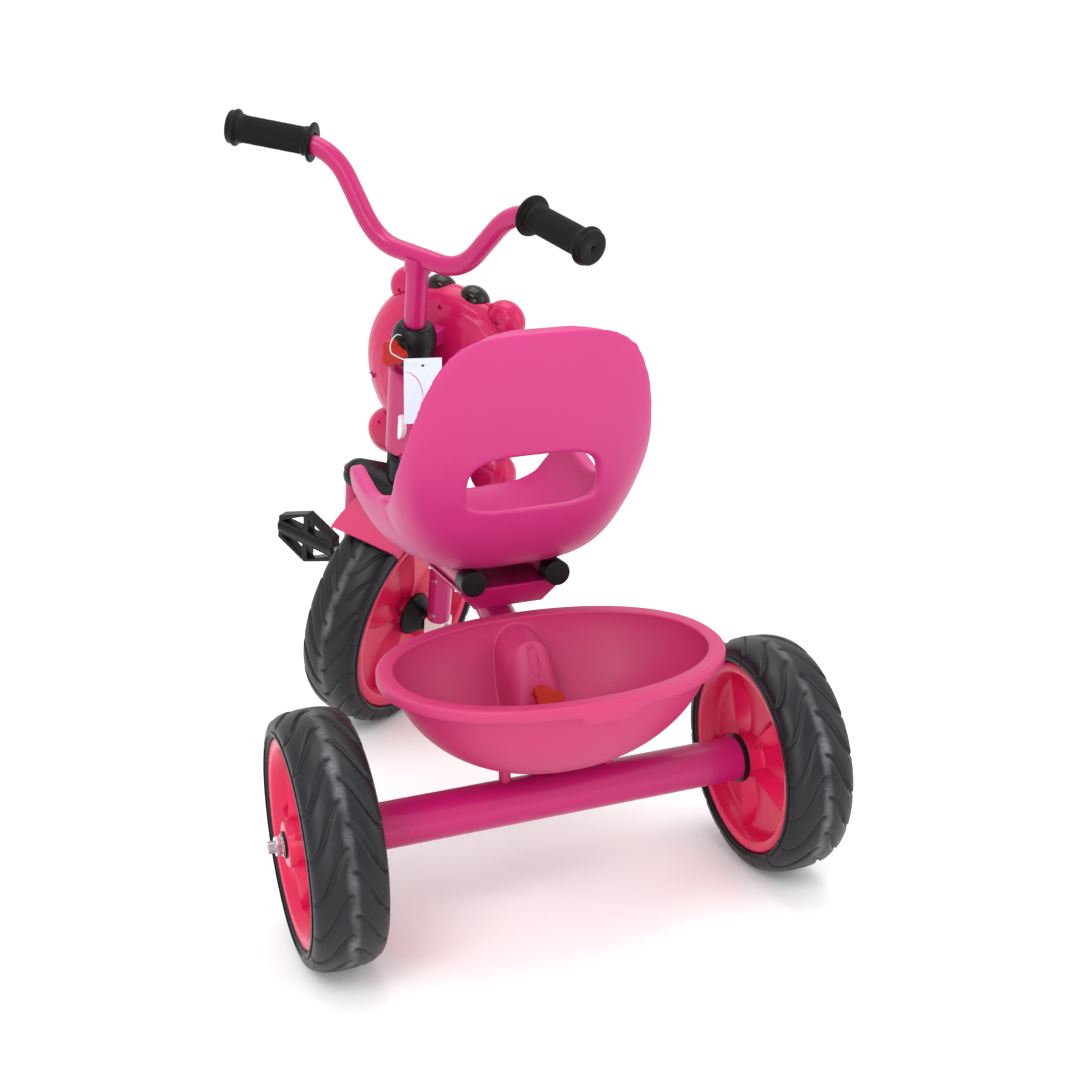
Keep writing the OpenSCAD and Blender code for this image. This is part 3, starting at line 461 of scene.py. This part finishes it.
# ---- Tyres ----
def make_tyre(node, centre, axis, R, W, seat, lean):
    """Foam tyre with S-shaped grooves. lean is +1 or -1: which way the grooves point."""
    N = 18 if R < 120 else 22
    n_t, n_a = N * 26, 64
    h, shoulder = W / 2, R * 0.868
    t = np.linspace(np.pi / 2, -np.pi / 2, n_a)
    pr = shoulder + (R - shoulder) * np.cos(t).clip(0) ** 0.75
    py = h * 0.97 * np.sign(np.sin(t)) * np.abs(np.sin(t)) ** 0.8
    th = np.linspace(0, 2 * np.pi, n_t, endpoint=False)
    TH, PR = np.meshgrid(th, pr, indexing="ij")
    PY = np.broadcast_to(py, TH.shape)
    u = PY / h
    depth = np.zeros_like(TH)
    pitch = 2 * np.pi / N
    for side in (-1, 1):
        w = np.clip((u * side - 0.02) / 0.94, 0, 1)
        on = (u * side > -0.06) & (u * side < 1.05)
        s = w * w * (3 - 2 * w)
        centre_line = 1.15 * s + (0.5 if side > 0 else 0)
        slope = 1.15 * 6 * w * (1 - w) / 0.94 * pitch * R / h
        signed = (TH / pitch * lean - centre_line) % 1.0
        d = np.minimum(signed, 1 - signed) * pitch * R / np.sqrt(1 + slope ** 2)
        fade = np.clip((u * side + 0.06) / 0.10, 0, 1)
        g = np.exp(-(d / 1.5) ** 2) * 2.3 + np.exp(-signed * pitch * R / 6.0) * 0.9
        depth += np.where(on, g * fade, 0)
    depth *= np.clip((1.02 - np.abs(u)) / 0.12, 0, 1) ** 0.5
    rng = np.random.RandomState(len(node) + int(R))
    wave = sum(rng.uniform(0.3, 1) * np.sin(k * TH + rng.uniform(0, 6)) for k in (3, 5, 8, 13, 21)) / 4
    scuff = np.clip(1 - np.abs(u - 0.05 * wave) / (0.17 + 0.08 * wave), 0, 1)
    scuff *= np.clip(0.55 + 0.6 * wave, 0, 1) * np.clip(1.2 - depth, 0, 1)
    scuff *= 0.55 + 0.45 * rng.rand(*scuff.shape)
    RR = PR - 0.45 - depth
    tread = np.stack([RR * np.cos(TH), RR * np.sin(TH), PY], -1)
    inner = [(shoulder - 4, -h), (seat + 6, -h + 0.4), (seat + 2, -h + 1), (seat + 0.4, -h + 4),
             (seat + 0.4, h - 4), (seat + 2, h - 1), (seat + 6, h - 0.4), (shoulder - 4, h)]
    ring = np.array([[[r * math.cos(a), r * math.sin(a), z] for r, z in inner] for a in th])
    v = np.concatenate([tread, ring], 1)
    cols = v.shape[1]
    o = add_mesh(node + "_tread", placed(v.reshape(-1, 3), axis_matrix(centre, axis, (0, 0, 1))),
                 grid_faces(n_t, cols, wrap_rows=True)[:, ::-1], M_TYRE, (node,))
    a = o.data.attributes.new("scuff", "FLOAT", "POINT")
    full = np.zeros((n_t, cols))
    full[:, :n_a] = scuff
    a.data.foreach_set("value", full.reshape(-1).astype(np.float32))
    return o


front_c = Vector(joint["front_wheel_spin"]["pos_m"])
left_c = Vector(joint["rear_left_wheel_spin"]["pos_m"])
right_c = Vector(joint["rear_right_wheel_spin"]["pos_m"])
# Wheels: tyre radius, width, and radius of the tyre's seat on the rim
REAR_R, REAR_W, REAR_SEAT = 105, 61, 85
FRONT_R, FRONT_W, FRONT_SEAT = 135.5, 67, 111
make_tyre("rear_left_tyre", left_c, (-1, 0, 0), REAR_R, REAR_W, REAR_SEAT, -1)
make_tyre("rear_right_tyre", right_c, (1, 0, 0), REAR_R, REAR_W, REAR_SEAT, 1)
make_tyre("front_tyre", front_c, LAT, FRONT_R, FRONT_W, FRONT_SEAT, -1)

# ---- Handlebar and grips ----
bar_corners = [(0, 0, 139), (50, 0, 139), (104, -2, 220), (203, -34, 223)]
grip_in, grip_out = np.array([127.0, -7, 221]), np.array([203.0, -34, 223])
half = rounded_path(bar_corners, 32)
path = np.concatenate([(half * [-1, 1, 1])[:0:-1], half])
v, f = tube(path, 9.55, 48)
add_mesh("handlebar_tube", placed(v, STEER_M), f, M_PAINT, ("handlebar",))


def make_grip(node, side):
    """Ribbed grip with a flange at each end."""
    a, b = grip_in * [side, 1, 1], grip_out * [side, 1, 1]
    length = np.linalg.norm(b - a) + 3
    n = 240
    prof = [(9.6, -2.6), (17.5, -2.9), (19.0, -2.2), (19.4, -0.9), (19.0, 0.3), (17.2, 0.9), (14.6, 1.2),
            (13.6, 2.4), (13.5, 4.0), (14.3, 4.8), (14.3, 7.0), (13.0, 8.0)]
    ribs = [(13.0, z) for z in np.linspace(9, length - 16, 40)]
    tail = [(13.0, length - 15), (14.2, length - 14), (14.2, length - 11), (13.6, length - 9.6),
            (17.0, length - 9.2), (17.9, length - 8.2), (17.9, length - 6.6), (17.0, length - 5.6),
            (16.2, length - 5), (16.1, length - 1.4), (15.2, length - 0.4), (13.5, length), (3.2, length),
            (2.6, length - 0.4), (2.2, length - 2.4)]
    p = np.array(prof + ribs + tail)
    t = np.linspace(0, 2 * np.pi, n, endpoint=False)
    r = np.repeat(p[:, 0:1], n, 1)
    lo, hi = len(prof), len(prof) + len(ribs)
    r[lo:hi] += 0.35 * np.cos(60 * t)[None, :]
    bands = (np.arange(hi - lo) % 10 == 5)
    r[lo:hi][bands] -= 0.25
    v = np.stack([r * np.cos(t), r * np.sin(t), np.repeat(p[:, 1:2], n, 1)], -1).reshape(-1, 3)
    m = STEER_M @ axis_matrix(Vector(a) * MM, Vector(b - a))
    f = grid_faces(len(p), n).tolist()
    f.append([(len(p) - 1) * n + i for i in range(n)])
    add_mesh(node + "_ribbed", placed(v, m), f, M_GRIP, (node,))


make_grip("left_grip", -1)
make_grip("right_grip", 1)

# ---- Rims ----
def make_rim(node, centre, axis, seat, W, bore, hub_lo, hub_hi, phase):
    """Dished rim with a wide lip and five faceted spokes on each face."""
    h = W / 2
    dish = 13.0
    prof = []
    for s in (1, -1):
        hub = hub_hi if s > 0 else -hub_lo
        side = [(bore, hub), (bore + 8.4, hub), (bore + 9.4, hub - 1), (bore + 10.2, hub - 8),
                (bore + 11.5, dish + 1.5), (bore + 15, dish), (seat * 0.60, dish - 2),
                (seat * 0.80, dish - 1), (seat * 0.835, dish + 1), (seat * 0.85, dish + 5),
                (seat * 0.885, h - 5.5), (seat * 0.90, h - 4.0), (seat * 0.93, h - 3.2),
                (seat * 0.975, h - 3.0), (seat - 0.3, h - 3.6), (seat, h - 5)]
        prof += [(r, s * z) for r, z in (side if s > 0 else side[::-1])]
    parts = [lathe(prof, 144)]
    rh, rr = bore + 9, seat * 0.84
    for s in (1, -1):
        hub = (hub_hi if s > 0 else -hub_lo) - 4
        for k in range(5):
            a = math.radians(72 * k + phase + (0 if s > 0 else 36))
            ca, sa = math.cos(a), math.sin(a)

            def pt(r, w, z):
                return (r * ca - w * sa, r * sa + w * ca, s * z)
            wide = rr * 0.30
            top = [pt(rh - 1, -6, dish - 3), pt(rh - 1, 6, dish - 3), pt(rh, 0, min(hub, h - 4)),
                   pt(rh + (rr - rh) * 0.34, 0, dish + 10.5),
                   pt(rh + (rr - rh) * 0.40, -wide * 0.62, dish - 4),
                   pt(rh + (rr - rh) * 0.40, wide * 0.62, dish - 4), pt(rr + 1, 0, dish + 6),
                   pt(rr + 1, -4.5, dish - 3), pt(rr + 1, 4.5, dish - 3), pt(rh, 0, dish - 9),
                   pt(rr, 0, dish - 9)]
            f = [(2, 0, 4, 3), (2, 3, 5, 1), (3, 4, 7, 6), (3, 6, 8, 5), (0, 2, 9), (2, 1, 9), (7, 10, 6),
                 (6, 10, 8), (0, 9, 4), (9, 10, 4), (4, 10, 7), (1, 5, 9), (5, 10, 9), (5, 8, 10)]
            if s < 0:
                f = [q[::-1] for q in f]
            parts.append((np.array(top), f))
    v, f = join(parts)
    o = add_mesh(node + "_star", placed(v, axis_matrix(centre, axis, (0, 0, 1))), f, M_RIM, (node,))
    bevel(o, 0.7, 2, 24)
    smooth_by_angle(o, 40)
    return o


# Hubs: bore, and how far the inner and outer faces lie from the wheel's middle
REAR_BORE, REAR_IN, REAR_OUT = 9, -28, 31
FRONT_BORE, FRONT_HUB = 6, 23.5
make_rim("rear_left_rim", left_c, (-1, 0, 0), REAR_SEAT, REAR_W, REAR_BORE, REAR_IN, REAR_OUT, 20)
make_rim("rear_right_rim", right_c, (1, 0, 0), REAR_SEAT, REAR_W, REAR_BORE, REAR_IN, REAR_OUT, 8)
make_rim("front_rim", front_c, LAT, FRONT_SEAT, FRONT_W, FRONT_BORE, -FRONT_HUB, FRONT_HUB, 12)

# ---- Frame tubes, with weld beads ----
def frame_pt(y, z, x=0.0):
    """A point given in mm: y ahead of the rear axle, z above the floor."""
    return np.array([x * MM, rear.y + y * MM, z * MM])


main_lo, main_bend, main_hi = (0, 14, 108), (0, 59, 190), (0, 411, 330)
main_path = rounded_path([main_lo, main_bend, main_hi], 34, 20, 10)
v, f = tube(main_path, 15.95, 64)
v = np.array([frame_pt(p[1], p[2], p[0]) for p in v])
add_mesh("main_tube_bent", v, f, M_PAINT, ("main_tube",))


def weld(name, pts, body, r):
    """A lumpy bead along pts, in metres."""
    pts = np.asarray(pts, float)
    n = len(pts)
    rad = r * MM * (1 + 0.22 * np.sin(np.arange(n) * 1.35) + 0.08 * np.sin(np.arange(n) * 3.1))
    v, f = tube(pts, rad, 12)
    return add_mesh(name, v, f, M_PAINT, body=body)


def meeting_line(p0, d, r, surface, n=90):
    """Where a round tube of radius r from p0 along d meets a surface: surface(p) is negative inside it."""
    d = np.array(d, float) / np.linalg.norm(d)
    u = np.cross(d, [1, 0, 0.0])
    u /= np.linalg.norm(u)
    w = np.cross(d, u)
    out = []
    for a in np.linspace(0, 2 * np.pi, n + 1):
        q = np.array(p0, float) + r * (u * np.cos(a) + w * np.sin(a))
        s = np.linspace(-40, 60, 600)
        vals = np.array([surface(q + d * x) for x in s])
        k = np.where((vals[:-1] < 0) & (vals[1:] >= 0))[0]
        out.append(q + d * s[k[-1]] if len(k) else None)
    return out


tube_dir = np.array(main_bend, float) - np.array(main_lo, float)
line = meeting_line(main_lo, tube_dir, 16.0, lambda p: math.hypot(p[1], p[2] - 105) - 19.3)
line = [p for p in line if p is not None]
weld("weld_rear", [frame_pt(p[1], p[2], p[0]) for p in line], "frame", 2.0)

# ---- Seat ----
# Hand opening: height of its middle, half its height and half its width
OPENING_Z, OPENING_HIGH, OPENING_HALF = 369.5, 23.0, 55
# Down the middle, from the top of the back to the front: y, z, half width and rise of the sides, in mm
SEAT_LINE = np.array([
    [-13, 495, 44, 1], [-12, 491, 64, 2], [-8, 477, 82, 5], [1, 448, 97, 9],
    [14, 406, 107, 18], [24, 374, 111, 30], [35, 344, 110, 44], [48, 318, 108, 58],
    [66, 296, 106, 68], [90, 282, 106, 72], [120, 278, 108, 70], [155, 278, 110, 66],
    [190, 279, 111, 73], [220, 282, 110, 76], [245, 287, 107, 68], [264, 293, 100, 44],
    [276, 299, 84, 14]], float)


def catmull(P, n):
    """n points on a smooth line through the rows of P."""
    Q = np.vstack([2 * P[0] - P[1], P, 2 * P[-1] - P[-2]])
    out = []
    for x in np.linspace(0, len(P) - 1 - 1e-9, n):
        i, t = int(x), x - int(x)
        a, b, c, d = Q[i:i + 4]
        square, cube = 2 * a - 5 * b + 4 * c - d, 3 * b - a - 3 * c + d
        out.append(0.5 * (2 * b + (c - a) * t + square * t ** 2 + cube * t ** 3))
    return np.array(out)


def make_seat():
    """Bucket swept along SEAT_LINE, with the hand opening cut through its back."""
    line = catmull(SEAT_LINE, 110)
    tan = np.gradient(line[:, :2], axis=0)
    tan /= np.linalg.norm(tan, axis=1)[:, None]
    nrm = np.stack([-tan[:, 1], tan[:, 0]], 1)
    m = 44
    wall = 15.0

    def ring(depth, limit):
        t = np.radians(np.linspace(-limit, limit, 2 * m + 1))
        flat = np.sign(np.sin(t)) * np.abs(np.sin(t)) ** 0.85
        side = (1 - np.cos(t)) ** 1.3
        x = (line[:, 2:3] - depth * np.abs(np.sin(t)) * 0.9) * flat
        up_ = line[:, 3:4] * side + depth * (1 - 0.75 * np.abs(np.sin(t)) ** 6)
        y = line[:, 0:1] + nrm[:, 0:1] * up_
        z = line[:, 1:2] + nrm[:, 1:2] * up_
        return np.stack([x, y, z], -1)
    outer, inner = ring(0, 90), ring(wall, 88)[:, ::-1]
    g = np.concatenate([outer, inner], 1)
    n, c = g.shape[:2]
    f = grid_faces(n, c).tolist()
    f.append(list(range(c))[::-1])
    f.append([(n - 1) * c + i for i in range(c)])
    v = g.reshape(-1, 3)
    o = add_mesh("seat_moulding", [frame_pt(p[1], p[2], p[0]) for p in v], f, M_SEAT, ("seat",))
    # the hand opening, wider towards both faces
    rows = []
    for y, grow in ((-70, 9), (6, 7.5), (15, 3.0), (24, 0), (33, 0), (41, 1.5), (50, 4.2), (120, 5)):
        ring_ = []
        for a in np.linspace(0, 2 * np.pi, 72, endpoint=False):
            ca, sa = math.cos(a), math.sin(a)
            half = OPENING_HALF + 4.5 * (1 - sa) / 2
            x = (half + grow) * np.sign(ca) * abs(ca) ** 0.55
            high = OPENING_HIGH + grow * (0.9 if sa < 0 else 0.3)
            sag = 0.00055 * x * x * (1 if sa < 0 else 0.2)
            z = OPENING_Z + high * np.sign(sa) * abs(sa) ** 0.62 - sag
            ring_.append(frame_pt(y, z, x))
        rows.append(ring_)
    rows = np.array(rows)
    me = bpy.data.meshes.new("cutter")
    k = rows.shape[1]
    ff = grid_faces(len(rows), k).tolist()
    ff += [list(range(k))[::-1], [(len(rows) - 1) * k + i for i in range(k)]]
    me.from_pydata([tuple(p) for p in rows.reshape(-1, 3)], [], [tuple(q) for q in ff])
    cut = bpy.data.objects.new("cutter", me)
    bpy.context.scene.collection.objects.link(cut)
    cut.hide_render = True
    bpy.context.view_layer.update()
    outward(me)
    outward(o.data)
    remesh(o, 2.0)
    bake(o)
    outward(o.data)
    b = o.modifiers.new("opening", "BOOLEAN")
    b.object = cut
    b.operation = "DIFFERENCE"
    b.solver = "EXACT"
    remesh(o, 1.6, 16, 0.6)
    bake(o)
    for p in o.data.polygons:
        p.use_smooth = True
    bpy.data.objects.remove(cut)
    return o


make_seat()

# ---- Basket ----
# Middle of the rim and how far its front is raised
BASKET_Y, BASKET_Z, TILT = -1.0, 227.4, math.radians(2.7)
# Rounded recess on the hump: middle, half its straight part, radius of its ends, depth
SLOT_Y, SLOT_STRAIGHT, SLOT_R, SLOT_DEEP = 45.5, 2.2, 4.5, 3.6
# The tab on the near side's lip: middle, half width, drop
TAB_X, TAB_HALF, TAB_DROP = 8, 17, 7.0
FOOT_X, FOOT_Z = 46, 123.9


def make_basket():
    """Oval bowl with a turned-down rim, and a hump over the main tube."""
    a, b, depth, wall = 136.0, 95.0, 94.0, 3.0
    us = np.concatenate([np.linspace(-1, -0.22, 46), np.linspace(-0.215, -0.10, 44),
                         np.linspace(-0.098, 0.098, 70), np.linspace(0.10, 0.215, 44),
                         np.linspace(0.22, 1, 46)])
    vs = np.concatenate([np.linspace(-1, 0.2, 76), np.linspace(0.203, 0.55, 110), np.linspace(0.56, 1, 50)])
    U, V = np.meshgrid(us, vs, indexing="ij")
    X, Y = U * np.sqrt(1 - V ** 2 / 2), V * np.sqrt(1 - U ** 2 / 2)
    q, phi = np.clip(np.hypot(X, Y), 0, 1), np.arctan2(Y, X)
    c, s = np.cos(phi), np.sin(phi)
    c, s = np.sign(c) * np.abs(c) ** 0.93, np.sign(s) * np.abs(s) ** 0.93
    ct, st = math.cos(TILT), math.sin(TILT)

    def hump(x, y, z, inset):
        """Height of the wall over the main tube at (x, y), in the basket's frame."""
        y_row = BASKET_Y + y * ct - z * st
        bend_y, bend_z = main_bend[1:]
        d1 = (bend_z - main_lo[2]) / (bend_y - main_lo[1])
        d2 = (main_hi[2] - bend_z) / (main_hi[1] - bend_y)
        y0 = y_row + 1
        z1 = bend_z + 2 + d1 * (y0 - bend_y)
        z2 = bend_z + 2 + d2 * (y0 - bend_y)
        axis = -np.log(np.exp(-(z1 - bend_z) / 8) + np.exp(-(z2 - bend_z) / 8)) * 8 + bend_z
        slope = np.where(y0 < bend_y, d1, d2)
        r = 22.0 - inset
        ax = np.abs(x)
        dome = np.sqrt(np.clip(r * r - ax * ax, 0, None)) * np.sqrt(1 + slope ** 2 * 0.55)
        skirt = -np.clip(ax - r * 0.985, 0, None) * (50 / 8.0)
        top = axis + np.where(ax < r * 0.985, dome, r * 0.17 + skirt)
        foot = (y_row - 26.0) * 3.2 + 150 - inset * 2.0
        top = -np.logaddexp(-top / 5, -foot / 5) * 5
        return top - BASKET_Z - y * st

    def surface(inset, hump_inset):
        t = np.pi / 2 * (1 - q)
        rho = np.cos(t) ** 0.92
        x, y = (a - inset) * rho * c, (b - inset) * rho * s
        z = -(depth - inset) * np.sin(t) ** 1.15
        h = hump(x, y, z, hump_inset)
        k = 2.5
        zz = np.logaddexp(z / k, h / k) * k
        lid = -3.0 * (1 - q) ** 0.25
        z = -np.logaddexp(-zz / 1.2, -lid / 1.2) * 1.2
        return x, y, z * (q < 0.999)
    xi, yi, zi = surface(wall, 0)
    xo, yo, zo = surface(0, wall)
    slot_y = yi * ct - zi * st + BASKET_Y - SLOT_Y
    to_slot = np.hypot(xi, np.clip(np.abs(slot_y) - SLOT_STRAIGHT, 0, None)) - SLOT_R
    zi = zi - SLOT_DEEP / (1 + np.exp(np.clip(to_slot / 0.14, -60, 60))) * (zi > -60)
    zo = np.minimum(zo, zi - 0.6)
    n, m = U.shape
    top = np.stack([xi, yi, zi], -1).reshape(-1, 3)
    bot = np.stack([xo, yo, zo], -1).reshape(-1, 3)
    idx = np.arange(n * m).reshape(n, m)
    quads = np.stack([idx[:-1, :-1], idx[1:, :-1], idx[1:, 1:], idx[:-1, 1:]], -1).reshape(-1, 4)
    edge = np.concatenate([idx[:, 0], idx[-1, 1:], idx[-2::-1, -1], idx[0, -2:0:-1]])
    ec, es = c.reshape(-1)[edge], s.reshape(-1)[edge]
    # offset from the bowl's edge, and height
    rim = [(-3.0, 0.2), (-2.8, 0.9), (-2.2, 1.35), (-1.6, 1.5), (8.0, 1.9), (9.4, 1.75), (10.4, 1.0),
           (10.9, 0.0), (11, -0.8), (11, -6.6), (10.7, -7.5), (9.8, -8), (8.9, -7.6), (8.5, -6.8), (8.2, -3),
           (7.5, -1.6), (1.5, -1.4), (0.4, -3)]
    rv = np.array([[(a + out) * ec[i], (b + out) * es[i], z] for out, z in rim for i in range(len(edge))])
    L = len(edge)
    tab = np.exp(-(np.clip(np.abs(rv[:, 0] - TAB_X) - TAB_HALF, 0, None) / 7.0) ** 2) * (rv[:, 1] < 0)
    outside = np.hypot(rv[:, 0] / a, rv[:, 1] / b) > 1.04
    rv[:, 2] -= tab * TAB_DROP * np.clip((-rv[:, 2] - 5.0) / 1.5, 0, 1) * outside
    base = 2 * n * m
    f_rim = []
    loops = [edge] + [base + k * L + np.arange(L) for k in range(len(rim))] + [edge + n * m]
    for k in range(len(loops) - 1):
        for i in range(L):
            j = (i + 1) % L
            f_rim.append([loops[k + 1][i], loops[k + 1][j], loops[k][j], loops[k][i]])
    verts = np.concatenate([top, bot, rv])
    y, z = verts[:, 1] * ct - verts[:, 2] * st, verts[:, 1] * st + verts[:, 2] * ct
    row = np.stack([verts[:, 0] * MM, rear.y + (y + BASKET_Y) * MM, (z + BASKET_Z) * MM], 1)
    faces = quads.tolist() + (quads[:, ::-1] + n * m).tolist() + f_rim
    parts = [(row, faces)]
    for sx in (-1, 1):
        pv, pf = lathe([(0, 0), (4.2, 0), (5, 1), (5, 16), (0, 16)], 24, closed=False)
        parts.append((pv * MM + np.array([sx * FOOT_X * MM, rear.y, FOOT_Z * MM]), pf))
    v, f = join(parts)
    o = add_mesh("basket_bowl", v, f, M_BASKET, ("basket",))
    smooth_by_angle(o, 50)
    return o


make_basket()

# ---- Floor and light ----
def plane(name, size, z, mat):
    """Square floor."""
    me = bpy.data.meshes.new(name)
    s = size / 2
    me.from_pydata([(-s, -s, z), (s, -s, z), (s, s, z), (-s, s, z)], [], [(0, 1, 2, 3)])
    me.materials.append(mat)
    o = bpy.data.objects.new(name, me)
    bpy.context.scene.collection.objects.link(o)
    return o


M_FLOOR = material("floor", (0.955, 0.97, 0.968), 0.85, spec=0.1, vary=0.005, bump=0.02)
plane("floor", 3000, -0.0006, M_FLOOR)

world = bpy.data.worlds.new("world")
bpy.context.scene.world = world
world.use_nodes = True
world.node_tree.nodes["Background"].inputs["Color"].default_value = (1, 1, 1, 1)
world.node_tree.nodes["Background"].inputs["Strength"].default_value = 1.06


def area(name, loc, target, size, power):
    """Soft light at loc, turned to target."""
    l = bpy.data.lights.new(name, "AREA")
    l.shape = "RECTANGLE"
    l.size, l.size_y = size
    l.energy = power
    o = bpy.data.objects.new(name, l)
    o.location = loc
    o.rotation_mode = "QUATERNION"
    o.rotation_quaternion = (Vector(target) - Vector(loc)).to_track_quat("-Z", "Y")
    bpy.context.scene.collection.objects.link(o)


area("key", (-1.3, -1.6, 2.2), (0, 0, 0.25), (1.0, 1.0), 20)
area("front", (-0.9, -2.0, 0.75), (0, 0, 0.25), (0.9, 0.9), 9)
area("top", (0.3, 0.2, 2.6), (0, 0, 0.2), (1.6, 1.6), 22)
area("fill", (1.8, -1.2, 1.0), (0, 0, 0.3), (1.2, 1.6), 9)

# ---- Colour ----
bpy.context.scene.view_settings.view_transform = "Standard"
